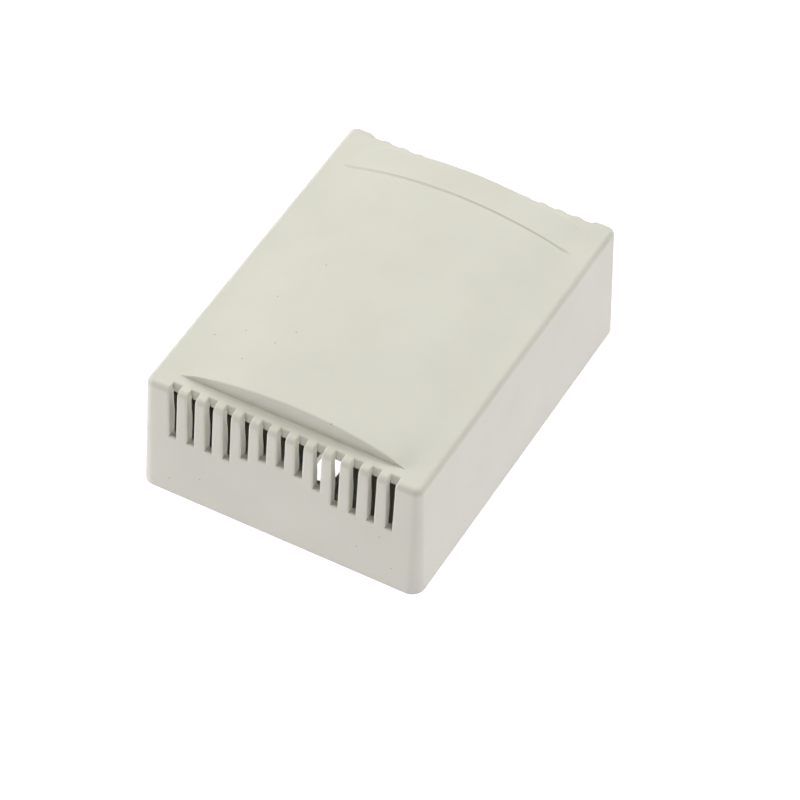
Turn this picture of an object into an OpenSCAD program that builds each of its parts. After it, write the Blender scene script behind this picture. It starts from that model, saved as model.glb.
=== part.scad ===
// Vented wall box for electronics: a deep crowned cover that snaps over a flat base plate.
// Millimetres. Origin at the middle of the underside, +Z up, long side along Y.

/* [Cover] */
// Width across the bottom edge, along X
body_w = 66; // [60:1:90]
// Length across the bottom edge, along Y
body_d = 90; // [86:1:130]
// Height of the flat margin of the lid
wall_h = 30; // [26:1:45]
// How far each wall leans in from bottom to lid
lean = 1; // [0.4:0.1:1.2]
// Radius of the upright corners at the bottom edge
corner_r = 3; // [2.8:0.1:5]
// Rounding round the edge of the lid
edge_r = 1.6; // [0.8:0.1:1.8]
// Thickness of the walls
wall = 2; // [1.6:0.1:2.4]
// Thickness of the lid
lid_t = 2.2; // [1.6:0.1:3]
// Radius of the upright corners inside, at the bottom edge
cavity_r = 1.8; // [1.4:0.1:3]
// How far the slotted walls swell inwards behind the slots
swell = 0.5; // [0.3:0.1:0.8]
// Radius of the swell, which bends about a line along X
swell_r = 16; // [12:1:24]
// Height of the middle of the swell
swell_z = 22; // [20:0.5:23]

/* [Crown] */
// Height of the crowned panel above the flat margin, at its middle
crown_rise = 4.7; // [3:0.1:6]
// Radius of the crown, which bends about a line along Y
crown_r = 90; // [80:1:140]
// Width of the flat margin beside the crowned panel
crown_side_margin = 5.8; // [5:0.1:12]
// Run of the panel's sloping sides for each millimetre of their rise
crown_side_run = 2; // [1:0.1:3]
// Width of the flat strip between the crowned panel and each slotted edge
crown_end_margin = 4.8; // [4:0.2:12]
// Rounding at the top of the panel's end faces
crown_edge_r = 0.5; // [0.2:0.1:1]
// Distance of the line across the crown from the panel's back end
groove_from_end = 8; // [3:0.5:30]
// Width of the line across the crown
groove_w = 0.7; // [0.4:0.1:1.2]
// Depth of the line across the crown
groove_depth = 0.4; // [0.2:0.05:0.8]

/* [Vents] */
// Number of slots in each short wall
slot_n = 13; // [5:2:13]
// Distance between slots
slot_pitch = 4.22; // [3.4:0.02:4.4]
// Width of a slot at its sill
slot_w_low = 1.5; // [1:0.1:2]
// Width of a slot at the lid
slot_w_top = 2; // [1.2:0.1:2.6]
// Height of the long slots, from sill to lid
slot_len = 13.6; // [10:0.2:18]
// How far the front slots reach into the lid from its edge
front_notch = 2.2; // [1.8:0.1:3]
// How far the back slots reach into the lid from its edge
back_notch = 1.5; // [1:0.1:3]
// Radius of the arch that lifts the sills in the middle
arch_r = 18; // [10:0.5:24]
// Height of the arch above the long slots' sills
arch_rise = 4.5; // [0:0.1:6]

/* [Base plate] */
// Thickness of the base plate
base_t = 2; // [1.6:0.1:3]
// Gap between the base plate and the cover's walls
base_gap = 0.2; // [0.1:0.05:0.4]
// Diameter of the board posts
post_d = 5; // [4.4:0.1:6]
// Height of the board posts above the plate
post_h = 6; // [4:0.5:10]
// Diameter of the pilot holes in the board posts
post_hole_d = 2.2; // [1.8:0.1:2.6]
// Distance between the board posts along X
post_x = 44; // [36:1:46]
// Distance between the board posts along Y
post_y = 60; // [52:1:66]
// Width of the fixing slots
fix_w = 6; // [4:0.2:7]
// Length of the fixing slots, end to end
fix_l = 12; // [9:0.2:16]
// Distance between the middles of the fixing slots
fix_spacing = 44.8; // [40:0.2:48]

/* [Snap tongues] */
// Width of a snap tongue
tongue_w = 10; // [6:0.5:14]
// Height of a snap tongue above the plate
tongue_h = 6; // [5:0.5:10]
// Thickness of a snap tongue
tongue_t = 1.4; // [1.2:0.1:2]
// Distance between the snap tongues along Y
tongue_y = 36; // [28:1:44]
// Radius of the bead along a tongue
bead_r = 0.6; // [0.55:0.05:0.8]
// How far the bead stands out of its tongue
bead_proud = 0.5; // [0.3:0.05:0.5]
// Gap round the bead in the cover's groove
bead_gap = 0.2; // [0.1:0.05:0.3]
// Distance of the bead from the top of its tongue
bead_drop = 1.5; // [1:0.1:2.5]

/* [Seat ribs] */
// Thickness of the ribs that seat the cover on the plate
rib_t = 1.2; // [0.8:0.1:2]
// How far the ribs stand out of the wall
rib_reach = 2.4; // [1.6:0.1:3]
// Height of the ribs
rib_h = 14; // [6:0.5:18]
// Distance between the ribs along Y
rib_y = 60; // [50:1:70]

/* [Hidden] */

$fn = 64;
plastic = [0.85, 0.84, 0.79];
// Overshoot of a cutting tool past the face it cuts
cut = 1;
// Flat left inside the lid edge's rounding at an upright corner
corner_land = 0.05;

// Walls, inside and out, lean by this much for each millimetre of height
lean_rate = lean / wall_h;
lid_edge_r = min(edge_r, corner_r - lean - corner_land);
ceiling_z = wall_h - lid_t;
cavity_w = body_w - 2 * wall;
cavity_d = body_d - 2 * wall;

crown_w = body_w - 2 * lean - 2 * crown_side_margin;
crown_l = body_d - 2 * lean - 2 * crown_end_margin;
crown_axis_z = wall_h + crown_rise - crown_r;
crown_root = lid_t / 2;
groove_y = crown_l / 2 - groove_from_end;

long_sill_z = wall_h - slot_len;
arch_z = long_sill_z + arch_rise - arch_r;
lid_edge_y = body_d / 2 - lean;

base_in = lean_rate * base_t + base_gap;
base_w = cavity_w - 2 * base_in;
base_d = cavity_d - 2 * base_in;
base_r = cavity_r - base_in;

tongue_top_z = base_t + tongue_h;
tongue_face_x = cavity_w / 2 - lean_rate * tongue_top_z - base_gap;
bead_x = tongue_face_x + bead_proud - bead_r;
bead_z = tongue_top_z - bead_drop;

// Height of a slot's sill: that of the long slots, or the arch where the arch is higher
function sill_z(x) =
  abs(x) < arch_r ? max(long_sill_z, arch_z + sqrt(arch_r * arch_r - x * x)) : long_sill_z;

// Half of an upright section: a side that starts at half_w and leans in, with a round of radius r at the top
module leaning_half(half_w, height, inset, r) {
  slope = atan(inset / height);
  round_x = half_w - inset * (height - r) / height - r / cos(slope);
  round_z = height - r;
  if (r > 0) {
    polygon([
      [0, 0], [half_w, 0], [round_x + r * cos(slope), round_z + r * sin(slope)],
      [round_x, round_z], [round_x, height], [0, height]
    ]);
    intersection() {
      translate([round_x, round_z]) circle(r);
      translate([0, 0]) square([half_w, height + r]);
    }
  } else {
    polygon([[0, 0], [half_w, 0], [half_w - inset, height], [0, height]]);
  }
}

// Upright section across the whole width
module leaning_section(width, height, inset, r) {
  leaning_half(width / 2, height, inset, r);
  mirror([1, 0]) leaning_half(width / 2, height, inset, r);
}

// Block on z = 0 with leaning walls, conical upright corners and a rounded top edge
module leaning_block(w, d, height, inset, upright_r, top_r) {
  rotate([90, 0, 0])
    linear_extrude(d - 2 * upright_r, center = true) leaning_section(w, height, inset, top_r);
  rotate([90, 0, 90])
    linear_extrude(w - 2 * upright_r, center = true) leaning_section(d, height, inset, top_r);
  for (turn = [0 : 90 : 270])
    translate([sign(cos(turn + 45)) * (w / 2 - upright_r), sign(sin(turn + 45)) * (d / 2 - upright_r), 0])
      rotate([0, 0, turn])
        rotate_extrude(angle = 90) leaning_half(upright_r, height, inset, top_r);
}

// Slice of a drum lying along Y, with its rims rounded
module drum(radius, length, rim_r) {
  rotate([90, 0, 0])
    rotate_extrude($fn = 180) {
      translate([0, -length / 2]) square([radius - rim_r, length]);
      translate([0, rim_r - length / 2]) square([radius, length - 2 * rim_r]);
      for (s = [-1, 1])
        translate([radius - rim_r, s * (length / 2 - rim_r)]) circle(rim_r);
    }
}

// Raised panel of the lid: part of a drum between sloping sides, with the line cut across it
module crown() {
  top = crown_rise + crown_root;
  top_x = crown_w / 2 - crown_side_run * top;
  intersection() {
    difference() {
      translate([0, 0, crown_axis_z]) drum(crown_r, crown_l, crown_edge_r);
      crown_line();
    }
    rotate([90, 0, 0])
      linear_extrude(crown_l + 2 * cut, center = true)
        polygon([
          [-crown_w / 2, wall_h - crown_root], [crown_w / 2, wall_h - crown_root], [crown_w / 2, wall_h],
          [top_x, wall_h + top], [-top_x, wall_h + top], [-crown_w / 2, wall_h]
        ]);
  }
}

// Section of the line across the crown: a shallow V of the given depth whose mouth is at x = 0
module line_section(depth) {
  half_mouth = groove_w / groove_depth / 2 * (groove_depth + depth);
  polygon([[-depth, 0], [groove_depth, half_mouth], [groove_depth, -half_mouth]]);
}

// Cutter of the line, which follows the crown from side to side and runs shallower down both slopes
module crown_line() {
  slope_length = crown_rise * norm([1, crown_side_run]);
  slope_depth = groove_depth * 0.8;
  translate([0, groove_y, 0]) {
    translate([0, 0, crown_axis_z])
      rotate([90, 0, 0])
        rotate_extrude($fn = 180) translate([crown_r, 0]) line_section(groove_depth);
    for (m = [0, 1])
      mirror([m, 0, 0])
        translate([crown_w / 2, 0, wall_h])
          rotate([0, -atan(crown_side_run), 0])
            linear_extrude(slope_length) line_section(slope_depth);
  }
}

// Hollow under the crown, which keeps the lid's thickness even
module crown_hollow() {
  intersection() {
    translate([0, 0, crown_axis_z]) drum(crown_r - lid_t, crown_l - 2 * lid_t, crown_edge_r);
    translate([lid_t - crown_w / 2, -crown_l / 2, ceiling_z - crown_root])
      cube([crown_w - 2 * lid_t, crown_l, 2 * crown_rise + crown_root]);
  }
}

// Row of slots through the wall at +Y, each wider at the lid than at its sill, which reach into the lid by notch
module slot_row(notch) {
  reach = lean + max(wall + swell, notch) + 2 * cut;
  flare = (slot_w_top - slot_w_low) / slot_len / 2;
  top = slot_w_top / 2 + flare * cut;
  difference() {
    for (i = [0 : slot_n - 1]) {
      x = (i - (slot_n - 1) / 2) * slot_pitch;
      z = sill_z(x);
      low = slot_w_low / 2 + flare * (z - long_sill_z);
      translate([x, body_d / 2 + cut, 0])
        rotate([90, 0, 0])
          linear_extrude(reach)
            polygon([[-low, z], [low, z], [top, wall_h + cut], [-top, wall_h + cut]]);
    }
    translate([-body_w / 2, lid_edge_y - notch - reach, ceiling_z]) cube([body_w, reach, lid_t + 2 * cut]);
  }
}

// Bars along Y where the snap beads of the +X side are
module bead_bars(r, length) {
  for (s = [-1, 1])
    translate([bead_x, s * tongue_y / 2 + length / 2, bead_z])
      rotate([90, 0, 0]) cylinder(r = r, h = length);
}

// Ribs on the +X wall, whose feet stand on the base plate
module seat_ribs() {
  for (s = [-1, 1])
    translate([cavity_w / 2 - rib_reach, s * rib_y / 2 - rib_t / 2, base_t])
      cube([rib_reach + wall, rib_t, rib_h]);
}

// Long low swell along the inside of the wall at +Y
module wall_swell() {
  crest_y = cavity_d / 2 - lean_rate * swell_z - swell;
  translate([-cavity_w / 2, crest_y + swell_r, swell_z])
    rotate([0, 90, 0]) cylinder(r = swell_r, h = cavity_w, $fn = 180);
}

// Inside of the cover, open below, less the seat ribs and the swells
module cavity() {
  spread = 2 * lean_rate * cut;
  difference() {
    union() {
      translate([0, 0, -cut])
        leaning_block(
          cavity_w + spread, cavity_d + spread, ceiling_z + cut, lean_rate * (ceiling_z + cut), cavity_r, 0
        );
      crown_hollow();
    }
    for (turn = [0, 180])
      rotate([0, 0, turn]) {
        seat_ribs();
        wall_swell();
      }
  }
}

module cover() {
  color(plastic)
    difference() {
      union() {
        leaning_block(body_w, body_d, wall_h, lean, corner_r, lid_edge_r);
        crown();
      }
      cavity();
      for (turn = [0, 180])
        rotate([0, 0, turn]) {
          slot_row(turn == 0 ? back_notch : front_notch);
          bead_bars(bead_r + bead_gap, tongue_w + 2 * bead_gap);
        }
    }
}

// Slot with round ends along Y, through the plate
module fixing_slot() {
  depth = base_t + 2 * cut;
  run = fix_l - fix_w;
  translate([0, 0, -cut]) {
    for (s = [-1, 1])
      translate([0, s * run / 2, 0]) cylinder(d = fix_w, h = depth);
    translate([-fix_w / 2, -run / 2, 0]) cube([fix_w, run, depth]);
  }
}

// Upright tongues with their beads, on the +X side of the plate
module snap_tongues() {
  for (s = [-1, 1])
    translate([tongue_face_x - tongue_t, s * tongue_y / 2 - tongue_w / 2, base_t / 2])
      cube([tongue_t, tongue_w, tongue_top_z - base_t / 2]);
  bead_bars(bead_r, tongue_w);
}

// Places its children at the four board posts, on the top of the plate
module at_posts() {
  for (sx = [-1, 1], sy = [-1, 1])
    translate([sx * post_x / 2, sy * post_y / 2, base_t]) children();
}

module base_plate() {
  color(plastic)
    difference() {
      union() {
        leaning_block(base_w, base_d, base_t, 0, base_r, 0);
        at_posts() translate([0, 0, -base_t / 2]) cylinder(d = post_d, h = post_h + base_t / 2);
        for (turn = [0, 180])
          rotate([0, 0, turn]) snap_tongues();
      }
      at_posts() cylinder(d = post_hole_d, h = post_h + cut);
      for (s = [-1, 1])
        translate([0, s * fix_spacing / 2, 0]) fixing_slot();
    }
}

cover();
base_plate();
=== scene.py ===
import logging
import math
from dataclasses import dataclass, replace
from enum import Enum, IntEnum
from typing import Any

import bmesh
import bpy
import numpy as np
from mathutils import Matrix, Vector


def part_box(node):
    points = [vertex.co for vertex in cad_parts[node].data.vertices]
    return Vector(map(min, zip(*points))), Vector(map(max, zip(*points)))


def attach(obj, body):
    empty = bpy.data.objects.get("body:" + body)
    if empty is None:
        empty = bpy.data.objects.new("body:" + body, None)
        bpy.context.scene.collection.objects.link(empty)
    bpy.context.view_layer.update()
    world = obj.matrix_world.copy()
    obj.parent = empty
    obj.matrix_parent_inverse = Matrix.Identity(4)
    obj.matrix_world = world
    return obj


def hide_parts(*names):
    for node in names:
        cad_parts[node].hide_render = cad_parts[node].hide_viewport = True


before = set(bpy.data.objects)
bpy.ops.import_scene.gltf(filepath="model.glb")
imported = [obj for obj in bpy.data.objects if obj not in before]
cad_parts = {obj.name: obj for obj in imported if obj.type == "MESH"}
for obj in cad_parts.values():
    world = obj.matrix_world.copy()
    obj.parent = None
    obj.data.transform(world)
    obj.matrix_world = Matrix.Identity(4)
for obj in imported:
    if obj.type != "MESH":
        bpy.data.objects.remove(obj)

MM = 0.001
# The walls lean in by 1 mm over 30 mm of height, outside and inside
LEAN_RATE = 1.0 / 30.0
log = logging.getLogger("project_box")

Array = np.ndarray
Node = bpy.types.Node
Socket = bpy.types.NodeSocket
Rgb = tuple[float, float, float]
Point = tuple[float, float, float]
Place = tuple[float, float]


class MixSocket(IntEnum):
    """Numbers of a mix node's colour sockets, which share their names with others."""

    FACTOR = 0
    UNDER = 6
    OVER = 7
    RESULT = 2


@dataclass(frozen=True)
class NodeDesk:
    """Shorthand for laying out a material's nodes."""

    tree: bpy.types.NodeTree

    def add(self, kind: str, **settings: Any) -> Node:
        """Adds one node.

        Args:
            kind: Blender's name of the node's type.
            settings: attributes of the node, or values of its inputs by name.

        Returns:
            The new node.
        """
        node = self.tree.nodes.new(kind)
        for key, value in settings.items():
            if hasattr(node, key):
                setattr(node, key, value)
            else:
                node.inputs[key].default_value = value
        return node

    def link(self, source: Socket, target: Socket) -> None:
        """Joins an output to an input."""
        self.tree.links.new(source, target)

    def noise(self, place: Socket, size_m: float, detail: float) -> Socket:
        """Adds noise.

        Args:
            place: coordinates.
            size_m: about how wide the noise's blobs are.
            detail: number of finer layers on top.

        Returns:
            The noise's value.
        """
        noise = self.add("ShaderNodeTexNoise", Scale=1.0 / size_m, Detail=detail)
        self.link(place, noise.inputs["Vector"])
        return noise.outputs["Fac"]


@dataclass(frozen=True)
class SatinPlastic:
    """Fine satin finish of a moulded, off-white styrene plastic."""

    name: str
    colour: Rgb
    ior: float = 1.53
    mottle: float = 0.02
    mottle_range: tuple[float, float] = (0.3, 0.7)
    roughness: float = 0.44
    roughness_spread: float = 0.06
    grain_m: float = 0.16 * MM
    grain_detail: float = 3.0
    grain_height_m: float = 0.004 * MM
    grain_strength: float = 0.35
    flow_m: float = 14.0 * MM
    flow_detail: float = 2.0
    depth_share: float = 1.0
    depth_tint: Rgb = (1.0, 0.9, 0.75)
    depth_m: float = 0.35 * MM
    specks: tuple[Point, ...] = ()
    speck_m: float = 0.22 * MM
    speck_colour: Rgb = (0.16, 0.14, 0.11)

    def build(self) -> bpy.types.Material:
        """Makes the material: broad colour drift, fine grain in bump and gloss, and the specks of dirt.

        Returns:
            The finished material.
        """
        material = bpy.data.materials.new(self.name)
        material.use_nodes = True
        material.node_tree.nodes.clear()
        desk = NodeDesk(material.node_tree)
        place = desk.add("ShaderNodeTexCoord").outputs["Object"]
        shader = desk.add("ShaderNodeBsdfPrincipled")
        shader.inputs["IOR"].default_value = self.ior
        shader.inputs["Subsurface Weight"].default_value = self.depth_share
        shader.inputs["Subsurface Radius"].default_value = self.depth_tint
        shader.inputs["Subsurface Scale"].default_value = self.depth_m
        output = desk.add("ShaderNodeOutputMaterial")
        desk.link(shader.outputs["BSDF"], output.inputs["Surface"])
        colour = self._drift(desk, place)
        colour = self._dirt(desk, place, colour)
        desk.link(colour, shader.inputs["Base Color"])
        self._grain(desk, place, shader)
        return material

    def _drift(self, desk: NodeDesk, place: Socket) -> Socket:
        """Broad, faint change of colour, as the melt leaves it.

        Args:
            desk: the material's nodes.
            place: object coordinates.

        Returns:
            The colour's socket.
        """
        noise = desk.noise(place, self.flow_m, self.flow_detail)
        ramp = desk.add("ShaderNodeValToRGB")
        low, high = ramp.color_ramp.elements
        low.position, high.position = self.mottle_range
        low.color = (*(c * (1 - self.mottle) for c in self.colour), 1.0)
        high.color = (*(min(1.0, c * (1 + self.mottle)) for c in self.colour), 1.0)
        desk.link(noise, ramp.inputs["Fac"])
        return ramp.outputs["Color"]

    def _dirt(self, desk: NodeDesk, place: Socket, colour: Socket) -> Socket:
        """Small dark specks round the points in specks.

        Args:
            desk: the material's nodes.
            place: object coordinates.
            colour: the colour under the specks.

        Returns:
            The colour with the specks on it.
        """
        for speck in self.specks:
            reach = desk.add("ShaderNodeVectorMath", operation="DISTANCE")
            desk.link(place, reach.inputs[0])
            reach.inputs[1].default_value = speck
            fade = desk.add("ShaderNodeMapRange", interpolation_type="SMOOTHSTEP")
            fade.inputs["From Min"].default_value = self.speck_m
            fade.inputs["From Max"].default_value = 0.0
            desk.link(reach.outputs["Value"], fade.inputs["Value"])
            mix = desk.add("ShaderNodeMix", data_type="RGBA")
            mix.inputs[MixSocket.OVER].default_value = (*self.speck_colour, 1.0)
            desk.link(fade.outputs["Result"], mix.inputs[MixSocket.FACTOR])
            desk.link(colour, mix.inputs[MixSocket.UNDER])
            colour = mix.outputs[MixSocket.RESULT]
        return colour

    def _grain(self, desk: NodeDesk, place: Socket, shader: Node) -> None:
        """Fine grain of the mould, in the roughness and as bump.

        Args:
            desk: the material's nodes.
            place: object coordinates.
            shader: the node that takes both.
        """
        noise = desk.noise(place, self.grain_m, self.grain_detail)
        gloss = desk.add("ShaderNodeMapRange")
        gloss.inputs["To Min"].default_value = self.roughness - self.roughness_spread
        gloss.inputs["To Max"].default_value = self.roughness + self.roughness_spread
        desk.link(noise, gloss.inputs["Value"])
        desk.link(gloss.outputs["Result"], shader.inputs["Roughness"])
        bump = desk.add("ShaderNodeBump", Strength=self.grain_strength, Distance=self.grain_height_m)
        desk.link(noise, bump.inputs["Height"])
        desk.link(bump.outputs["Normal"], shader.inputs["Normal"])


class End(Enum):
    """The two slotted ends of the box; the value is the sign of Y."""

    FRONT = -1
    BACK = 1


class Patchwork:
    """Collects grids of points and sews them into one closed mesh."""

    def __init__(self) -> None:
        """Starts with no points and no faces."""
        self._points: list[Array] = []
        self._faces: list[Array] = []
        self._count = 0

    def add(self, points: Array, keep: Array | None = None) -> None:
        """Adds a grid, or a stack of grids of one size.

        Each quad joins a point to its neighbours on the right and above.

        Args:
            points: places in mm, of shape (..., rows, columns, 3).
            keep: the quads that stay, of shape (rows - 1, columns - 1); all of them when left out.
        """
        rows, columns = points.shape[-3:-1]
        index = self._count + np.arange(points[..., 0].size).reshape(-1, rows, columns)
        quads = np.stack(
            [index[:, :-1, :-1], index[:, :-1, 1:], index[:, 1:, 1:], index[:, 1:, :-1]], axis=-1
        )
        if keep is not None:
            quads = quads[:, keep]
        self._points.append(points.reshape(-1, 3))
        self._faces.append(quads.reshape(-1, quads.shape[-1]))
        self._count += index.size

    def sew(self, name: str, seam_mm: float, smooth_deg: float) -> bpy.types.Object:
        """Makes the object from the points that the quads use.

        The seams are merged, the faces point outwards, and edges over smooth_deg are kept sharp.

        Args:
            name: name of the object and its mesh.
            seam_mm: points nearer to each other than this are one point.
            smooth_deg: largest angle between faces that is shaded smooth.

        Returns:
            The object, at the origin.
        """
        quads = np.concatenate(self._faces)
        used, corners = np.unique(quads, return_inverse=True)
        points = np.concatenate(self._points)[used] * MM
        mesh = bpy.data.meshes.new(name)
        mesh.vertices.add(len(points))
        mesh.vertices.foreach_set("co", points.ravel())
        mesh.loops.add(quads.size)
        mesh.loops.foreach_set("vertex_index", corners.ravel())
        mesh.polygons.add(len(quads))
        mesh.polygons.foreach_set("loop_start", np.arange(0, quads.size, quads.shape[1]))
        mesh.update(calc_edges=True)
        work = bmesh.new()
        work.from_mesh(mesh)
        bmesh.ops.remove_doubles(work, verts=work.verts, dist=seam_mm * MM)
        bmesh.ops.recalc_face_normals(work, faces=work.faces)
        work.to_mesh(mesh)
        work.free()
        mesh.shade_smooth()
        mesh.set_sharp_from_angle(angle=math.radians(smooth_deg))
        piece = bpy.data.objects.new(name, mesh)
        bpy.context.scene.collection.objects.link(piece)
        return piece


@dataclass(frozen=True)
class SkinPath:
    """Section of the cover's skin: up the leaning wall, round the lid's edge and inwards over the lid.

    A place on it is given by the length along it from the wall's foot. Reach counts outwards from the axis
    of the upright corners.
    """

    foot: float = 3.0
    lean_rate: float = LEAN_RATE
    edge_r: float = 1.6
    top: float = 30.0

    @property
    def slope(self) -> float:
        """Angle by which the wall leans in."""
        return math.atan(self.lean_rate)

    @property
    def round_reach(self) -> float:
        """Reach of the axis of the edge's rounding."""
        return self.foot - self.lean_rate * (self.top - self.edge_r) - self.edge_r / math.cos(self.slope)

    @property
    def wall_end(self) -> float:
        """Length at which the wall goes over into the rounding."""
        return (self.top - self.edge_r) / math.cos(self.slope) + self.edge_r * math.tan(self.slope)

    @property
    def lid_start(self) -> float:
        """Length at which the rounding goes over into the lid."""
        return self.wall_end + self.edge_r * (math.pi / 2 - self.slope)

    def at_height(self, height: Array | float) -> Array | float:
        """Length at which the wall has this height."""
        return height / math.cos(self.slope)

    def at_reach(self, reach: float) -> float:
        """Length, past the wall, at which the path has this reach."""
        turn = math.acos(min(1.0, max(0.0, (reach - self.round_reach) / self.edge_r)))
        return self.wall_end + self.edge_r * (turn - self.slope) + max(0.0, self.round_reach - reach)

    def place(self, length: Array) -> tuple[Array, Array, Array, Array]:
        """Works out places on the path: a line, an arc of edge_r and a level line, one after the other.

        Args:
            length: lengths along the path.

        Returns:
            Reach and height of the places, and the reach and height of the outward normal there.
        """
        turn = self.slope + np.clip(length - self.wall_end, 0.0, self.lid_start - self.wall_end) / self.edge_r
        below = np.clip(self.wall_end - length, 0.0, None)
        past = np.clip(length - self.lid_start, 0.0, None)
        reach = self.round_reach + self.edge_r * np.cos(turn) + below * math.sin(self.slope) - past
        height = self.top - self.edge_r + self.edge_r * np.sin(turn) - below * math.cos(self.slope)
        return reach, height, np.cos(turn), np.sin(turn)


@dataclass(frozen=True)
class InnerPath:
    """Section of the cavity: up the leaning inner wall to the ceiling and inwards along it.

    A place is given by the height on the wall and, past the ceiling's corner, by that height plus the run
    inwards. Reach counts outwards from the axis of the upright corners, whose radius would be corner_r at
    corner_drop below the rim.
    """

    corner_r: float = 1.8
    corner_drop: float = 1.0
    lean_rate: float = LEAN_RATE
    ceiling: float = 27.8
    swell: float = 0.5
    swell_r: float = 16.0
    swell_z: float = 22.0

    @property
    def foot(self) -> float:
        """Reach of the wall at the rim."""
        return self.corner_r - self.lean_rate * self.corner_drop

    @property
    def head(self) -> float:
        """Reach of the wall at the ceiling."""
        return self.foot - self.lean_rate * self.ceiling

    def place(self, length: Array, swollen: bool | Array = False) -> tuple[Array, Array]:
        """Works out places on the path.

        The swell is the part of a circle of swell_r that stands out of the wall.

        Args:
            length: lengths along the path.
            swollen: where the wall has the swell behind the slots.

        Returns:
            Reach and height of the places.
        """
        height = np.minimum(length, self.ceiling)
        reach = self.foot - self.lean_rate * height - np.clip(length - self.ceiling, 0.0, None)
        rise = np.sqrt(np.clip(self.swell_r**2 - (height - self.swell_z) ** 2, 0.0, None))
        bulge = np.clip(rise - self.swell_r + self.swell, 0.0, None)
        return reach - np.where(swollen, bulge, 0.0), height


@dataclass(frozen=True)
class BoxPlan:
    """Columns round a box with rounded upright corners, against the clock from the front right corner."""

    axis_x: float
    axis_y: float
    xs: Array
    ys: Array
    corner_steps: int = 8

    def columns(self) -> tuple[Array, Array, Array]:
        """Lays out the columns: an arc of columns at each corner's axis and straight runs between them.

        Returns:
            For each column its point on the axis line, its direction outwards, and the direction in which
            it moves where the reach is negative, which mitres the corners.
        """
        starts, outs, mitres = [], [], []
        for quarter, (sx, sy) in enumerate(((1.0, -1.0), (1.0, 1.0), (-1.0, 1.0), (-1.0, -1.0))):
            turn = np.radians(np.linspace(90.0 * quarter - 90.0, 90.0 * quarter, self.corner_steps + 1))
            starts.append(np.tile((sx * self.axis_x, sy * self.axis_y), (turn.size, 1)))
            outs.append(np.stack([np.cos(turn), np.sin(turn)], axis=1))
            mitres.append(np.tile((sx, sy), (turn.size, 1)))
            along_y = quarter % 2 == 0
            run = self.ys if along_y else self.xs
            run = run if quarter in (0, 3) else run[::-1]
            side = np.full(run.size, sx * self.axis_x if along_y else sy * self.axis_y)
            starts.append(np.stack([side, run] if along_y else [run, side], axis=1))
            outs.append(np.tile((sx, 0.0) if along_y else (0.0, sy), (run.size, 1)))
            mitres.append(outs[-1])
        return np.concatenate(starts), np.concatenate(outs), np.concatenate(mitres)

    def rings(self, reach: Array, height: Array) -> Array:
        """Carries a section round the plan.

        Args:
            reach: reach of each row, of shape (rows, 1) or (rows, columns).
            height: height of each row.

        Returns:
            Points of shape (rows, columns + 1, 3); the last column closes the ring.
        """
        start, out, mitre = self.columns()
        outwards = out * np.clip(reach, 0.0, None)[..., None]
        inwards = mitre * np.clip(reach, None, 0.0)[..., None]
        plan = start + outwards + inwards
        level = np.broadcast_to(height[:, None, None], (*plan.shape[:2], 1))
        points = np.concatenate([plan, level], axis=2)
        return np.concatenate([points, points[:, :1]], axis=1)


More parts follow.
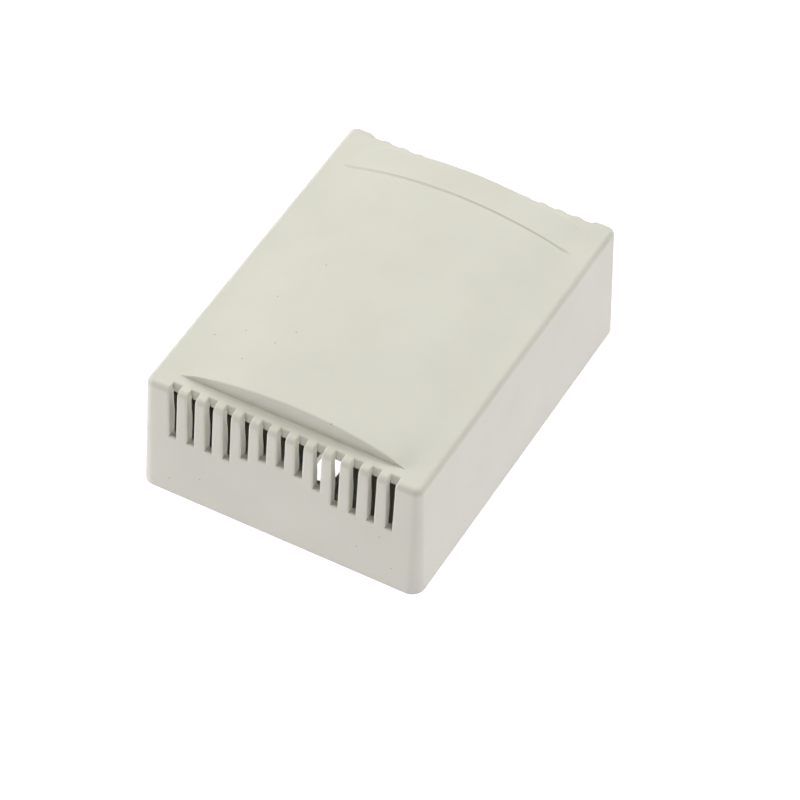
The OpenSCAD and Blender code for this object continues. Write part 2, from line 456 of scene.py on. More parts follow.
@dataclass(frozen=True)
class VentRow:
    """Row of upright slots in an end wall, open over the lid's edge, with higher sills in the middle.

    Attributes:
        sill_to_lid: height of the lid above the low sill.
        arch_r: radius of the arch on which the middle sills stand, arch_rise above the low one.
        notch: how far the slots reach into the lid from the wall's top.
        lip_r: radius of the rounding round each mouth.
        pinch: height of a ridge inside the slot, pinch_depth of the way through the wall.
        pinch_power: the slot draws in to the ridge as this power of the depth.
        pinch_pitch: pitch of the ridges, as a share of the slots' pitch.
        back_flare: how much wider each side is on the inside of the wall.
        edge_ease: growth of the edge's rounding between the slots, in full within ease_half of the middle.
        knee_drop: distance below the ceiling over which the slots' inner sides close up to their top.
        top_land: distance from the ceiling to the inner top of a slot that ends on the wall.
        skin_shares: places of the loops on the skin, from the cell's side to the lip.
        inner_shares: places of the loops on the inside, from the slot to the cell's side.
    """

    count: int = 13
    pitch: float = 4.22
    width_low: float = 1.5
    width_top: float = 2.0
    sill_low: float = 16.4
    sill_to_lid: float = 13.6
    arch_r: float = 18.0
    arch_rise: float = 4.5
    notch: float = 2.2
    lip_r: float = 0.42
    pinch: float = 0.32
    pinch_depth: float = 0.6
    pinch_power: float = 4.0
    pinch_pitch: float = 0.992
    back_flare: float = 0.25
    edge_ease: float = 0.0
    ease_half: float = 26.4
    knee_drop: float = 0.8
    top_land: float = 0.05
    lip_steps: int = 5
    throat_steps: int = 5
    across_steps: int = 6
    skin_shares: tuple[float, ...] = (0.0, 0.55, 0.85, 1.0)
    inner_shares: tuple[float, ...] = (0.0, 0.5, 1.0)

    @property
    def half_span(self) -> float:
        """Half the width of all the slots' cells."""
        return self.count * self.pitch / 2

    def centres(self) -> Array:
        """X of each slot's middle."""
        return (np.arange(self.count) - (self.count - 1) / 2) * self.pitch

    def sills(self) -> Array:
        """Height of each slot's sill: the low sill, or the circle of arch_r where that is higher."""
        rise = np.sqrt(np.clip(self.arch_r**2 - self.centres() ** 2, 0.0, None))
        return np.maximum(self.sill_low, self.sill_low + self.arch_rise - self.arch_r + rise)

    def half_width(self, height: Array) -> Array:
        """Half the slot's width, which grows evenly from the low sill to the lid."""
        part = (height - self.sill_low) / self.sill_to_lid
        return (self.width_low + (self.width_top - self.width_low) * part) / 2

    def loop(self, up_steps: int) -> tuple[Array, Array]:
        """Goes once round a slot: along its sill, up its right side, back along its top and down again.

        Args:
            up_steps: number of steps on each upright side.

        Returns:
            Across, from -1 to 1, and the number of the level, for each point of the loop.
        """
        across = np.linspace(-1.0, 1.0, self.across_steps + 1)
        ups = np.arange(up_steps + 1)
        edge = np.ones(up_steps)
        side = np.concatenate([across, edge, across[-2::-1], -edge])
        level = np.concatenate([0 * across, ups[1:], 0 * across[1:] + up_steps, ups[-2::-1]]).astype(int)
        return side, level


@dataclass(frozen=True)
class SlotLoops:
    """Loops round all slots of one end, by lengths on the skin and places across.

    Attributes:
        side: place of each point across its slot, from -1 to 1.
        level: number of each point's level.
        middle: X of the slots' middles, of shape (slots, 1).
        cell: lengths at the cells' sides.
        cell_x: X at the cells' sides, of shape (slots, points).
        mouth: lengths at the mouths, of the same shape.
        lip: lengths where the lips' rounding starts, of the same shape.
        half: half the slots' widths at the mouths, of the same shape.
        brink: length at the mouths' tops.
    """

    side: Array
    level: Array
    middle: Array
    cell: Array
    cell_x: Array
    mouth: Array
    lip: Array
    half: Array
    brink: float


def smooth_low(a: Array, b: Array, blend: float) -> Array:
    """The lower of two heights, with a parabola where they are within blend of each other."""
    return np.minimum(a, b) - np.clip(blend - np.abs(a - b), 0.0, None) ** 2 / (4 * blend)


@dataclass(frozen=True)
class CrownedLid:
    """Height of the lid: a crowned panel with soft sides and upright ends, and the line across it.

    Attributes:
        end_half_width: half the panel's width at the foot of its ends, where its sides rise by 1 in
            end_side_run.
        end_run: length over which the sides go over into those of the ends.
        end_draft: how much the upright end leans in.
        round_deg: turn of the roundings at the end's rim and foot.
        line_tilt: how much shallower the line gets towards +X, as a share at end_half_width.
        line_fade: height of the panel at which the line runs out.
        line_clear: half widths of the line around it that are free of other rows.
        end_clear: distance from the end's rim that is free of other rows.
        strip_y: row on the strip between the panel's end and the lid's edge.
    """

    rise: float = 4.5
    radius: float = 88.0
    end_half_width: float = 25.8
    end_side_run: float = 2.0
    end_run: float = 5.0
    shoulder_blend: float = 0.3
    foot_blend: float = 0.55
    end_y: float = 39.33
    end_draft: float = 0.08
    foot_r: float = 0.3
    rim_r: float = 0.42
    round_deg: float = 88.0
    round_steps: int = 6
    line_y: float = 31.2
    line_half_width: float = 0.5
    line_depth: float = 0.42
    line_tilt: float = 0.4
    line_fade: float = 0.2
    line_steps: int = 10
    line_clear: float = 1.5
    end_clear: float = 0.6
    strip_y: float = 40.2
    open_rows: int = 27

    def _end(self) -> tuple[Array, Array]:
        """Works out the upright end of the panel, from top to foot.

        A rounding of rim_r, an almost upright face and a hollow rounding of foot_r follow each other.

        Returns:
            Distance from the middle and share of the panel's height.
        """
        turn = np.radians(np.linspace(0.0, self.round_deg, self.round_steps + 1))
        rim_y = self.end_y - self.end_draft - self.rim_r * (1 - np.sin(turn))
        rim = 1 - self.rim_r / self.rise * (1 - np.cos(turn))
        foot_y = self.end_y + self.foot_r * (1 - np.sin(turn[::-1]))
        foot = self.foot_r / self.rise * (1 - np.cos(turn[::-1]))
        return np.concatenate([rim_y, foot_y]), np.concatenate([rim, foot])

    def rows(self) -> Array:
        """Lays out the lid's rows: close together at the panel's ends and at the line.

        Returns:
            Y of the rows, in rising order.
        """
        end = self._end()[0]
        inside = end[0] - self.end_clear
        end = np.append(end, self.strip_y)
        middle = np.linspace(-inside, inside, self.open_rows)
        middle = middle[np.abs(middle - self.line_y) > self.line_clear * self.line_half_width]
        line = self.line_y + self.line_half_width * np.linspace(-1.0, 1.0, self.line_steps + 1)
        return np.sort(np.concatenate([-end, middle, line, end]))

    def panel(self, x: Array, y: Array) -> Array:
        """Height of the panel without its upright ends: an arc with a soft foot and lowered corners.

        Over the last end_run before each end the sides go over from the arc into straight slopes, so that
        the upright face at the end tapers to a point on both sides.

        Args:
            x: columns.
            y: rows.

        Returns:
            Heights of shape (rows, columns).
        """
        arc = np.sqrt(self.radius**2 - x**2) - self.radius + self.rise
        side = (self.end_half_width - np.abs(x)) / self.end_side_run
        near = np.clip((self.end_y - np.abs(y)) / self.end_run, 0.0, 1.0)[:, None]
        ease = near**2 * (3 - 2 * near)
        height = ease * arc + (1 - ease) * smooth_low(arc, side, self.shoulder_blend)
        return -smooth_low(-height, 0.0 * height, self.foot_blend)

    def height(self, x: Array, y: Array) -> Array:
        """Height over the lid: the panel times the share of the end, less the line's furrow.

        The furrow's section is one wave of a cosine, which gets shallower towards +X by the tilt.

        Args:
            x: columns.
            y: rows.

        Returns:
            Heights of shape (rows, columns).
        """
        panel = self.panel(x, y)
        share = np.interp(np.abs(y), *self._end())
        off = np.clip(np.abs(y - self.line_y) / self.line_half_width, 0.0, 1.0)
        tilt = self.line_tilt * x / self.end_half_width
        furrow = self.line_depth * (0.5 + 0.5 * np.cos(np.pi * off))
        fade = np.clip((panel - self.line_fade * (1 + tilt)) / self.line_depth, 0.0, 1.0)
        return share[:, None] * panel - furrow[:, None] * (1 - tilt) * fade


@dataclass(frozen=True)
class SnapInside:
    """What the cover's long inner walls carry: seat ribs and the grooves for the snap beads.

    Attributes:
        groove_axis: distance from the middle and height of the grooves' axes.
        groove_shares: heights of the rows on a groove, in radii from its axis.
        step: distance from an edge to the rows or columns on both sides of it.
    """

    rib_y: float = 30.0
    rib_t: float = 1.2
    rib_face: float = 28.6
    rib_z: tuple[float, float] = (2.0, 16.0)
    groove_y: float = 18.0
    groove_half: float = 5.2
    groove_axis: tuple[float, float] = (30.433, 6.5)
    groove_r: float = 0.8
    groove_shares: tuple[float, ...] = (-1.0, -0.9, -0.5, 0.0, 0.5, 0.9, 1.0)
    step: float = 0.01

    def astride(self, edge: float) -> Array:
        """The two places on both sides of an edge."""
        return edge + self.step * np.array([-1.0, 1.0])

    def edges(self) -> Array:
        """Y of the columns on both sides of each step in the wall.

        Returns:
            The columns, in no order.
        """
        places = ((self.groove_y, self.groove_half), (self.rib_y, self.rib_t / 2))
        both = np.concatenate([self.astride(y + side * half) for y, half in places for side in (-1, 1)])
        return np.concatenate([both, -both])

    def levels(self) -> Array:
        """Heights of the rows that ribs and grooves need, below the slots' cells."""
        groove = self.groove_axis[1] + self.groove_r * np.array(self.groove_shares)
        return np.concatenate([self.astride(self.rib_z[0]), groove])

    def wall(self, plain: Array, height: Array, y: Array) -> Array:
        """Half width of the cavity where the wall carries something.

        Args:
            plain: half width of the plain wall for each row, of shape (rows, 1).
            height: height of each row.
            y: Y of each column.

        Returns:
            The wall, cut back by the groove's circle or brought forward to the rib's face.
        """
        z = height[:, None]
        arc = np.sqrt(np.clip(self.groove_r**2 - (z - self.groove_axis[1]) ** 2, 0.0, None))
        groove = np.where(arc > 0, self.groove_axis[0] + arc, 0.0)
        in_groove = np.abs(np.abs(y) - self.groove_y) < self.groove_half
        wall = np.where(in_groove, np.maximum(plain, groove), plain)
        on_rib = np.abs(np.abs(y) - self.rib_y) < self.rib_t / 2
        in_rib = on_rib & (z > self.rib_z[0]) & (z < self.rib_z[1])
        return np.where(in_rib, self.rib_face, wall)


@dataclass
class Cover:
    """Deep crowned cover: a skin, a cavity, two rows of slots between them, and a flat rim below.

    Attributes:
        half: half the width and half the length at the foot, in mm.
        lid_inset: distance from the corners' axes to the edge of the lid's and the ceiling's grids.
        margin_x: X of the columns between the slots' cells and that edge.
        cell_foot: height at which the slots' cells start.
        plain_z: height of a row between the grooves and the cells.
        hollow_half: half the width and half the length of the hollow under the crown.
        inner_clear: distance from the grids' edge that is free of the inner walls' even columns.
        lid_specks: X and Y of the specks on the lid.
        front_specks: X and height of the specks on the front wall.
    """

    finish: SatinPlastic
    half: Place
    skin: SkinPath = SkinPath()
    inner: InnerPath = InnerPath()
    front_vents: VentRow = VentRow()
    back_vents: VentRow = VentRow(notch=1.2, lip_r=0.8, edge_ease=0.9)
    lid: CrownedLid = CrownedLid()
    inside: SnapInside = SnapInside()
    wall_t: float = 2.0
    lid_t: float = 2.2
    lid_inset: float = 1.0
    margin_x: float = 28.2
    cell_foot: float = 14.5
    plain_z: float = 10.0
    foot_steps: int = 3
    wall_steps: int = 9
    edge_steps: int = 8
    lid_steps: int = 3
    hollow_half: tuple[float, float] = (24.0, 37.0)
    inner_clear: float = 0.6
    lid_specks: tuple[Place, ...] = (
        (-14.3, 0.3),
        (-19.0, -11.9),
        (-19.8, -23.5),
        (-25.5, -26.5),
        (-12.2, -24.8),
        (-9.8, -20.3),
        (-16.2, -31.5),
        (9.0, -39.1),
    )
    front_specks: tuple[Place, ...] = ((-26.0, 4.0), (-18.7, 7.5), (18.4, 7.7), (23.4, 13.1), (26.5, 5.5))
    seam: float = 0.001
    smooth_deg: float = 38.0

    @property
    def axis(self) -> Array:
        """X and Y of the axes of the skin's upright corners."""
        return np.array(self.half) - self.skin.foot

    @property
    def inner_axis(self) -> Array:
        """X and Y of the axes of the cavity's upright corners."""
        return np.array(self.half) - self.wall_t - self.inner.foot

    @property
    def lid_half(self) -> Array:
        """X and Y of the edge of the lid's and the ceiling's grids."""
        return self.axis - self.lid_inset

    @property
    def vents(self) -> VentRow:
        """The row that gives the columns, which both ends share."""
        return self.front_vents

    @property
    def up_steps(self) -> int:
        """Steps on the side of a slot's cell."""
        return self.wall_steps + self.edge_steps + self.lid_steps

    def _xs(self) -> Array:
        """Lays out the columns across the box: the sides of the slots' cells and steps between them.

        Returns:
            X of the columns.
        """
        half = self.vents.half_span
        cells = np.linspace(-half, half, self.vents.count * self.vents.across_steps + 1)
        return np.concatenate([[-self.margin_x], cells, [self.margin_x]])

    def _cell_skin(self) -> Array:
        """Lays out the levels of a slot's cell on the skin.

        Returns:
            Lengths along the skin.
        """
        path = self.skin
        wall = np.linspace(path.at_height(self.cell_foot), path.wall_end, self.wall_steps + 1)
        edge = np.linspace(path.wall_end, path.lid_start, self.edge_steps + 1)
        lid = np.linspace(path.lid_start, path.at_reach(-self.lid_inset), self.lid_steps + 1)
        return np.concatenate([wall, edge[1:], lid[1:]])

    def _cell_inner(self) -> Array:
        """Lays out the levels of a slot's cell on the inside, as many as on the skin.

        Returns:
            Lengths along the inner path.
        """
        rib = self.inside.astride(self.inside.rib_z[1])
        low = np.append(self.cell_foot, rib)
        left = self.wall_steps + self.edge_steps + 1 - low.size
        wall = np.linspace(rib[-1], self.inner.ceiling, left + 1)[1:]
        run = self.inner.head - self.lid_half[1] + self.inner_axis[1]
        roof = self.inner.ceiling + np.linspace(0.0, run, self.lid_steps + 1)[1:]
        return np.concatenate([low, wall, roof])

    def _vented(self, plan: BoxPlan) -> Array:
        """Mask of the columns of a plan that lie on the slots' cells."""
        start, out, _ = plan.columns()
        return (out[:, 0] == 0.0) & (np.abs(start[:, 0]) < self.vents.half_span + self.seam)

    def _outside_cells(self, plan: BoxPlan, rows: int, first: int) -> Array:
        """Quads of a ring grid that aren't in the slots' cells.

        Args:
            plan: the plan of the grid.
            rows: number of the grid's rows.
            first: number of the row at the cells' foot.

        Returns:
            A mask of shape (rows - 1, columns).
        """
        vented = self._vented(plan)
        cell = vented & np.roll(vented, -1)
        return ~((np.arange(rows - 1)[:, None] >= first) & cell)

    def _skin_rings(self, ys: Array) -> tuple[Array, Array]:
        """Carries the skin round the box, from the foot over the edge to the flat of the lid.

        Args:
            ys: columns of the long sides.

        Returns:
            The grid, and its quads outside the cells.
        """
        plan = BoxPlan(*self.axis, self._xs(), ys)
        cell = self._cell_skin()
        low = np.linspace(0.0, cell[0], self.foot_steps + 1)[:-1]
        reach, height, _, _ = self.skin.place(np.concatenate([low, cell]))
        return plan.rings(reach[:, None], height), self._outside_cells(plan, height.size, low.size)

    def _inner_rings(self, ys: Array) -> tuple[Array, Array]:
        """Carries the cavity's walls round the box, from the rim to the ceiling.

        The long walls carry ribs and grooves, and the end walls the swells.

        Args:
            ys: columns of the long sides.

        Returns:
            The grid, and its quads outside the cells.
        """
        plan = BoxPlan(*self.inner_axis, self._xs(), ys)
        low = np.concatenate([[0.0], self.inside.levels(), [self.plain_z]])
        length = np.concatenate([low, self._cell_inner()])
        reach, height = self.inner.place(length[:, None], self._vented(plan))
        start, out, _ = plan.columns()
        long_side = (out[:, 1] == 0.0) & (np.abs(start[:, 1]) < self.lid_half[1])
        carried = self.inside.wall(reach + self.inner_axis[0], height[:, 0], start[:, 1])
        reach = np.where(long_side, carried - self.inner_axis[0], reach)
        return plan.rings(reach, height[:, 0]), self._outside_cells(plan, length.size, low.size)

    def _row(self, end: End) -> VentRow:
        """The slots of one end."""
        return self.front_vents if end is End.FRONT else self.back_vents

    def _on_skin(self, end: End, x: Array, length: Array, depth: Array | float) -> Array:
        """Works out points under the skin of an end wall.

        Between the slots the edge is eased: the rounding there is larger by edge_ease, which takes
        edge_ease (cos a + sin a - 1) off it at the angle a.

        Args:
            end: which end.
            x: places across.
            length: lengths along the skin's path.
            depth: depth along the normal.

        Returns:
            The points.
        """
        row = self._row(end)
        reach, height, out, up = self.skin.place(length)
        window = np.clip((row.half_span - np.abs(x)) / (row.half_span - row.ease_half), 0.0, 1.0)
        level = math.cos(self.skin.slope) + math.sin(self.skin.slope)
        sunk = depth + row.edge_ease * window * np.clip(out + up - level, 0.0, None)
        y = end.value * (self.axis[1] + reach - sunk * out)
        return np.stack(np.broadcast_arrays(x, y, height - sunk * up), axis=-1)

    def _on_inner(self, end: End, x: Array, length: Array) -> Array:
        """Points on the inside of an end wall and on the ceiling before it."""
        reach, height = self.inner.place(length, True)
        return np.stack(np.broadcast_arrays(x, end.value * (self.inner_axis[1] + reach), height), axis=-1)

    def _squeeze(self, level: Array, low: Array, high: float) -> Array:
        """Moves the cell's levels together between low and high; the level at the edge's rounding stays.

        Args:
            level: lengths of the cell's levels.
            low: length of the lowest level for each slot, of shape (slots, 1).
            high: length of the highest level.

        Returns:
            Lengths of shape (slots, levels).
        """
        turn = self.skin.wall_end
        below = turn - (turn - level) * (turn - low) / (turn - level.min())
        above = turn + (level - turn) * (high - turn) / (level.max() - turn)
        return np.where(level <= turn, below, above)

    def _notch_reach(self, row: VentRow) -> float:
        """Reach at which the slots end on the lid."""
        return self.skin.foot - self.skin.lean_rate * self.skin.top - row.notch

    def _loops(self, row: VentRow) -> SlotLoops:
        """Lays the loops of a row's slots on the skin.

        Args:
            row: the slots.

        Returns:
            Their loops.
        """
        side, level = row.loop(self.up_steps)
        middle = row.centres()[:, None]
        sill = self.skin.at_height(row.sills()[:, None])
        brink = self.skin.at_reach(self._notch_reach(row))
        cell = self._cell_skin()[level]
        mouth = self._squeeze(cell, sill, brink)
        return SlotLoops(
            side=side,
            level=level,
            middle=middle,
            cell=cell,
            cell_x=middle + side * row.pitch / 2,
            mouth=mouth,
            lip=self._squeeze(cell, sill - row.lip_r, brink + row.lip_r),
            half=row.half_width(self.skin.place(mouth)[1]),
            brink=brink,
        )

    def _outer_loops(self, end: End, loops: SlotLoops) -> tuple[Array, Array]:
        """Carries the loops over the skin to the lip, and round it by a quarter circle of lip_r.

        Args:
            end: which end.
            loops: its loops.

        Returns:
            Points on the skin and on the lips, of shape (slots, loops, points, 3).
        """
        row = self._row(end)
        mouth_x = loops.middle + loops.side * loops.half
        lip_x = mouth_x + loops.side * row.lip_r
        share = np.array(row.skin_shares)[:, None]
        over_x = loops.cell_x[:, None] + share * (lip_x - loops.cell_x)[:, None]
        over = loops.cell + share * (loops.lip[:, None] - loops.cell)
        turn = np.linspace(0.0, np.pi / 2, row.lip_steps + 1)[:, None]
        round_x = lip_x[:, None] + np.sin(turn) * (mouth_x - lip_x)[:, None]
        rounded = loops.lip[:, None] + np.sin(turn) * (loops.mouth - loops.lip)[:, None]
        lips = self._on_skin(end, round_x, rounded, row.lip_r * (1 - np.cos(turn)))
        return self._on_skin(end, over_x, over, 0.0), lips

    def _back_loops(self, row: VentRow, loops: SlotLoops) -> tuple[Array, Array]:
        """Lays the loops on the inside of the wall, where they are wider by back_flare.

        Up to knee_drop below the ceiling a point has the height of its point at the mouth. Above that the
        levels go evenly to the slot's top, which is on the ceiling under the notch, or else on the wall.

        Args:
            row: the slots.
            loops: their loops.

        Returns:
            X and lengths along the inner path, of shape (slots, points).
        """
        ceiling = self.inner.ceiling
        knee = ceiling - row.knee_drop
        knee_skin = self.skin.at_height(knee)
        notch = self.axis[1] + self._notch_reach(row) - self.inner_axis[1]
        top = max(ceiling + self.inner.head - notch, ceiling - row.top_land)
        upper = knee + (loops.mouth - knee_skin) * (top - knee) / (loops.brink - knee_skin)
        back = np.where(loops.mouth < knee_skin, self.skin.place(loops.mouth)[1], upper)
        half = row.half_width(np.minimum(back, ceiling)) + row.back_flare
        return loops.middle * row.pinch_pitch + loops.side * half, back

    def _throat(self, end: End, loops: SlotLoops, lip: Array, behind: Array) -> Array:
        """Carries the loops through the wall, where they draw in by the pinch to a ridge.

        Sides and sill draw in as a power of the depth. At the top the ridge lies on the inside.

        Args:
            end: which end.
            loops: its loops.
            lip: points at the end of the lips, of shape (slots, points, 3).
            behind: points on the inside, of the same shape.

        Returns:
            Points of shape (slots, loops, points, 3).
        """
        row = self._row(end)
        at_sill = loops.level == 0
        at_top = loops.level == self.up_steps
        through = np.where(at_top, 1.0, row.pinch_depth)[:, None]
        ridge = lip * (1 - through) + behind * through
        ridge[..., 0] = loops.middle * row.pinch_pitch + loops.side * (loops.half - row.pinch)
        ridge[..., 1] += row.pinch * end.value * at_top
        ridge[..., 2] += row.pinch * at_sill
        depth = np.linspace(0.0, 1.0, row.throat_steps + 1)[:, None]
        late = depth**row.pinch_power
        share = np.stack(np.broadcast_arrays(late, depth, np.where(at_sill, late, depth)), axis=-1)
        throat = lip[:, None] * (1 - share) + ridge[:, None] * share
        return np.concatenate([throat, behind[:, None]], axis=1)

    def _slots(self, end: End) -> tuple[Array, ...]:
        """Works out all slots of one end: each is a chain of loops from its cell's sides to the inside.

        The loops go over the skin, round the lip, through the wall and outwards over the inside.

        Args:
            end: which end.

        Returns:
            Stacks of grids, of shape (slots, loops, points, 3).
        """
        row = self._row(end)
        loops = self._loops(row)
        over, lips = self._outer_loops(end, loops)
        back_x, back = self._back_loops(row, loops)
        throat = self._throat(end, loops, lips[:, -1], self._on_inner(end, back_x, back))
        share = np.array(row.inner_shares)[:, None]
        wide_x = back_x[:, None] + share * (loops.cell_x - back_x)[:, None]
        wide = back[:, None] + share * (self._cell_inner()[loops.level] - back)[:, None]
        return over, lips, throat, self._on_inner(end, wide_x, wide)

    def _panel(self, ys: Array, base: float, height: Array) -> Array:
        """Grid of a lid or ceiling, which is level at its edge.

        Args:
            ys: rows inside the edge.
            base: height of the edge.
            height: heights above the edge, of shape (rows, columns).

        Returns:
            Points of shape (rows + 2, columns + 2, 3).
        """
        edge_x, edge_y = self.lid_half
        xs = np.concatenate([[-edge_x], self._xs(), [edge_x]])
        grid_x, grid_y = np.meshgrid(xs, np.concatenate([[-edge_y], ys, [edge_y]]))
        return np.stack([grid_x, grid_y, base + np.pad(height, 1)], axis=-1)

    def _hollow(self, ys: Array) -> Array:
        """Height of the hollow under the crown: an arc parallel to the crown's, inside hollow_half.

        Args:
            ys: rows.

        Returns:
            Heights above the ceiling, of shape (rows, columns).
        """
        xs = self._xs()
        radius = self.lid.radius - self.lid_t
        arc = np.sqrt(radius**2 - xs**2) - radius + self.lid.rise
        within = (np.abs(ys) < self.hollow_half[1])[:, None] & (np.abs(xs) < self.hollow_half[0])
        return np.where(within, arc, 0.0)

    def _inner_ys(self, count: int) -> Array:
        """Lays out the columns of the long inner walls: the steps' columns and even ones between.

        Args:
            count: number of columns in all.

        Returns:
            Y of the columns, in rising order.
        """
        hollow = self.inside.astride(self.hollow_half[1])
        fixed = np.concatenate([self.inside.edges(), hollow, -hollow])
        end = self.lid_half[1] - self.inner_clear
        return np.sort(np.concatenate([fixed, np.linspace(-end, end, count - fixed.size)]))

    def _specks(self) -> tuple[Point, ...]:
        """Places the specks: those of the lid on the crown, those of the front on its leaning wall.

        Returns:
            Their points in m.
        """
        lid_x, lid_y = np.array(self.lid_specks).T
        lid_z = self.skin.top + np.diagonal(self.lid.height(lid_x, lid_y))
        wall_x, wall_z = np.array(self.front_specks).T
        wall_y = End.FRONT.value * (self.axis[1] + self.skin.place(self.skin.at_height(wall_z))[0])
        lid = np.stack([lid_x, lid_y, lid_z], axis=1)
        wall = np.stack([wall_x, wall_y, wall_z], axis=1)
        return tuple(map(tuple, (np.concatenate([lid, wall]) * MM).tolist()))

    def build(self) -> bpy.types.Object:
        """Builds the cover's shell and dresses it in place of the CAD node.

        Returns:
            The cover's object.
        """
        ys = self.lid.rows()
        inner_ys = self._inner_ys(ys.size)
        shell = Patchwork()
        skin, skin_keep = self._skin_rings(ys)
        walls, walls_keep = self._inner_rings(inner_ys)
        shell.add(skin, skin_keep)
        shell.add(walls, walls_keep)
        shell.add(np.stack([skin[0], walls[0]]))
        shell.add(self._panel(ys, self.skin.top, self.lid.height(self._xs(), ys)))
        shell.add(self._panel(inner_ys, self.inner.ceiling, self._hollow(inner_ys)))
        for end in End:
            for loops in self._slots(end):
                shell.add(loops)
        piece = shell.sew("cover_shell", self.seam, self.smooth_deg)
        normals = piece.modifiers.new("even_normals", "WEIGHTED_NORMAL")
        normals.keep_sharp = True
        piece.data.materials.append(replace(self.finish, specks=self._specks()).build())
        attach(piece, "cover")
        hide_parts("cover")
        return piece


def outward(azimuth_deg: float, elevation_deg: float) -> Vector:
    """Direction in which something stands from the object.

    Args:
        azimuth_deg: angle from the front, -Y, towards +X.
        elevation_deg: angle above the level.

    Returns:
        The unit vector.
    """
    azimuth = math.radians(azimuth_deg)
    elevation = math.radians(elevation_deg)
    return Vector((
        math.sin(azimuth) * math.cos(elevation),
        -math.cos(azimuth) * math.cos(elevation),
        math.sin(elevation),
    ))


@dataclass(frozen=True)
class PhotoCamera:
    """Camera at the photograph's viewing angle."""

    azimuth_deg: float = 27.14
    elevation_deg: float = 46.83
    roll_deg: float = 2.03
    distance_m: float = 897.8 * MM
    aim_right_m: float = 3.76 * MM
    aim_up_m: float = 0.06 * MM
    focal_px: float = 4213.0
    frame_px: float = 800.0
    sensor_mm: float = 36.0
    near_m: float = 0.01

    def axes(self) -> tuple[Vector, Vector, Vector]:
        """Works out the camera's axes: level ones, turned by the roll.

        Returns:
            Right, up and backward directions.
        """
        azimuth = math.radians(self.azimuth_deg)
        roll = math.radians(self.roll_deg)
        back = outward(self.azimuth_deg, self.elevation_deg)
        level = Vector((math.cos(azimuth), math.sin(azimuth), 0.0))
        rise = back.cross(level)
        right = math.cos(roll) * level + math.sin(roll) * rise
        up = math.cos(roll) * rise - math.sin(roll) * level
        return right, up, back

    def build(self) -> bpy.types.Object:
        """Makes the camera and hands it to the scene.

        Returns:
            The camera's object.
        """
        data = bpy.data.cameras.new("photo_camera")
        data.sensor_width = self.sensor_mm
        data.lens = self.focal_px / self.frame_px * self.sensor_mm
        data.clip_start = self.near_m
        camera = bpy.data.objects.new("photo_camera", data)
        right, up, back = self.axes()
        turn = Matrix((right, up, back)).transposed().to_4x4()
        place = self.aim_right_m * right + self.aim_up_m * up + self.distance_m * back
        camera.matrix_world = Matrix.Translation(place) @ turn
        bpy.context.scene.collection.objects.link(camera)
        bpy.context.scene.camera = camera
        return camera


@dataclass(frozen=True)
class SoftLight:
    """Square soft box that looks at the object."""

    name: str
    azimuth_deg: float
    watts: float
    elevation_deg: float = 50.0
    distance_m: float = 0.9
    size_m: float = 0.6

    def build(self, target: Vector) -> bpy.types.Object:
        """Makes the light.

        Args:
            target: the point that it looks at.

        Returns:
            The light's object.
        """
        data = bpy.data.lights.new(self.name, "AREA")
        data.size = self.size_m
        data.energy = self.watts
        light = bpy.data.objects.new(self.name, data)
        out = outward(self.azimuth_deg, self.elevation_deg)
        turn = out.to_track_quat("Z", "Y").to_matrix().to_4x4()
        light.matrix_world = Matrix.Translation(target + self.distance_m * out) @ turn
        bpy.context.scene.collection.objects.link(light)
        return light


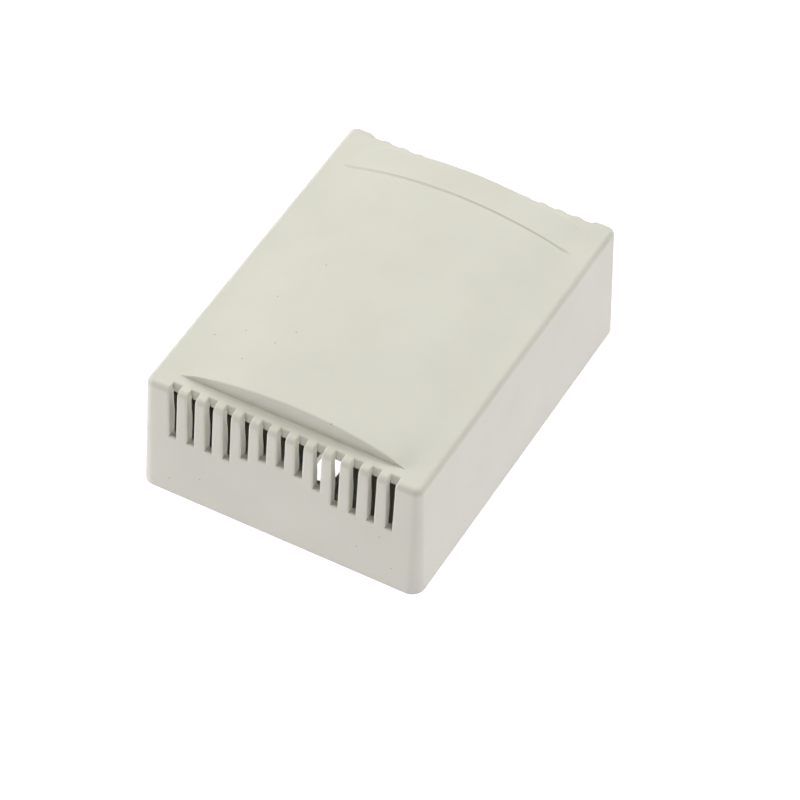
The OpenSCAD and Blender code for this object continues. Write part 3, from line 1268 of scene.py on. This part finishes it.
@dataclass(frozen=True)
class Studio:
    """Pale floor that glows like a light table, soft boxes and a dim room."""

    floor_radius_m: float = 6.0
    floor_sides: int = 96
    floor_colour: Rgb = (0.1, 0.1, 0.1)
    floor_roughness: float = 0.9
    floor_glow: float = 1.05
    floor_tint: Rgb = (1.04, 1.0, 1.045)
    room_colour: Rgb = (1.0, 1.0, 1.0)
    room_glow: float = 0.02
    lights: tuple[SoftLight, ...] = (
        SoftLight("right_front_box", azimuth_deg=60.0, watts=1.55),
        SoftLight("right_back_box", azimuth_deg=120.0, watts=1.0),
        SoftLight("back_box", azimuth_deg=168.0, watts=3.2),
        SoftLight("left_back_box", azimuth_deg=225.0, watts=0.6),
        SoftLight("left_box", azimuth_deg=270.0, watts=0.66, elevation_deg=65.0, distance_m=0.45, size_m=0.3),
        SoftLight("low_left_box", azimuth_deg=290.0, watts=3.2, elevation_deg=18.0, size_m=0.5),
    )

    def build(self, target: Vector) -> None:
        """Makes the floor, the lights and the room.

        Args:
            target: the point that the lights look at.
        """
        self._floor()
        for light in self.lights:
            light.build(target)
            log.info("light %s", light.name)
        self._room()
        bpy.context.scene.view_settings.view_transform = "Standard"

    def _floor(self) -> None:
        """Makes the round floor at z = 0: one face whose corners stand evenly on a circle."""
        angles = np.linspace(0.0, 2 * np.pi, self.floor_sides, endpoint=False)
        rim = self.floor_radius_m * np.stack([np.cos(angles), np.sin(angles), 0 * angles], axis=1)
        mesh = bpy.data.meshes.new("floor")
        mesh.from_pydata(rim.tolist(), [], [list(range(self.floor_sides))])
        floor = bpy.data.objects.new("floor", mesh)
        bpy.context.scene.collection.objects.link(floor)
        material = bpy.data.materials.new("floor_white")
        material.use_nodes = True
        shader = material.node_tree.nodes["Principled BSDF"]
        shader.inputs["Base Color"].default_value = (*self.floor_colour, 1.0)
        shader.inputs["Roughness"].default_value = self.floor_roughness
        shader.inputs["Emission Color"].default_value = (*self.floor_tint, 1.0)
        shader.inputs["Emission Strength"].default_value = self.floor_glow
        mesh.materials.append(material)

    def _room(self) -> None:
        """Makes the dim, even light from all round."""
        world = bpy.data.worlds.new("room")
        world.use_nodes = True
        backdrop = world.node_tree.nodes["Background"]
        backdrop.inputs["Color"].default_value = (*self.room_colour, 1.0)
        backdrop.inputs["Strength"].default_value = self.room_glow
        bpy.context.scene.world = world


@dataclass
class BasePlate:
    """Flat base plate with its posts and snap tongues, whose shape is the CAD node's."""

    finish: SatinPlastic
    node: str = "base_plate"

    def build(self) -> bpy.types.Object:
        """Gives the node its finish.

        Returns:
            The node's object.
        """
        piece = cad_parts[self.node]
        piece.data.materials.clear()
        piece.data.materials.append(self.finish.build())
        return piece


@dataclass
class ProjectBox:
    """The whole box: the cover over the base plate.

    Attributes:
        half: half its width and half its length at the foot, in mm.
    """

    half: Place
    colour: Rgb = (0.7503, 0.7466, 0.6573)

    def build(self) -> None:
        """Builds the pieces in order."""
        for maker in (
            BasePlate(SatinPlastic("base_satin", self.colour)),
            Cover(SatinPlastic("cover_satin", self.colour), self.half),
        ):
            piece = maker.build()
            log.info("piece %s, %d faces", piece.name, len(piece.data.polygons))


def main() -> None:
    """Builds the box, the studio and the camera."""
    logging.basicConfig(level=logging.INFO, format="%(name)s: %(message)s")
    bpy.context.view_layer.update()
    low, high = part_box("cover")
    half = (high - low) / (2 * MM)
    ProjectBox((half.x, half.y)).build()
    Studio().build((low + high) / 2)
    PhotoCamera().build()


if __name__ == "__main__":
    main()
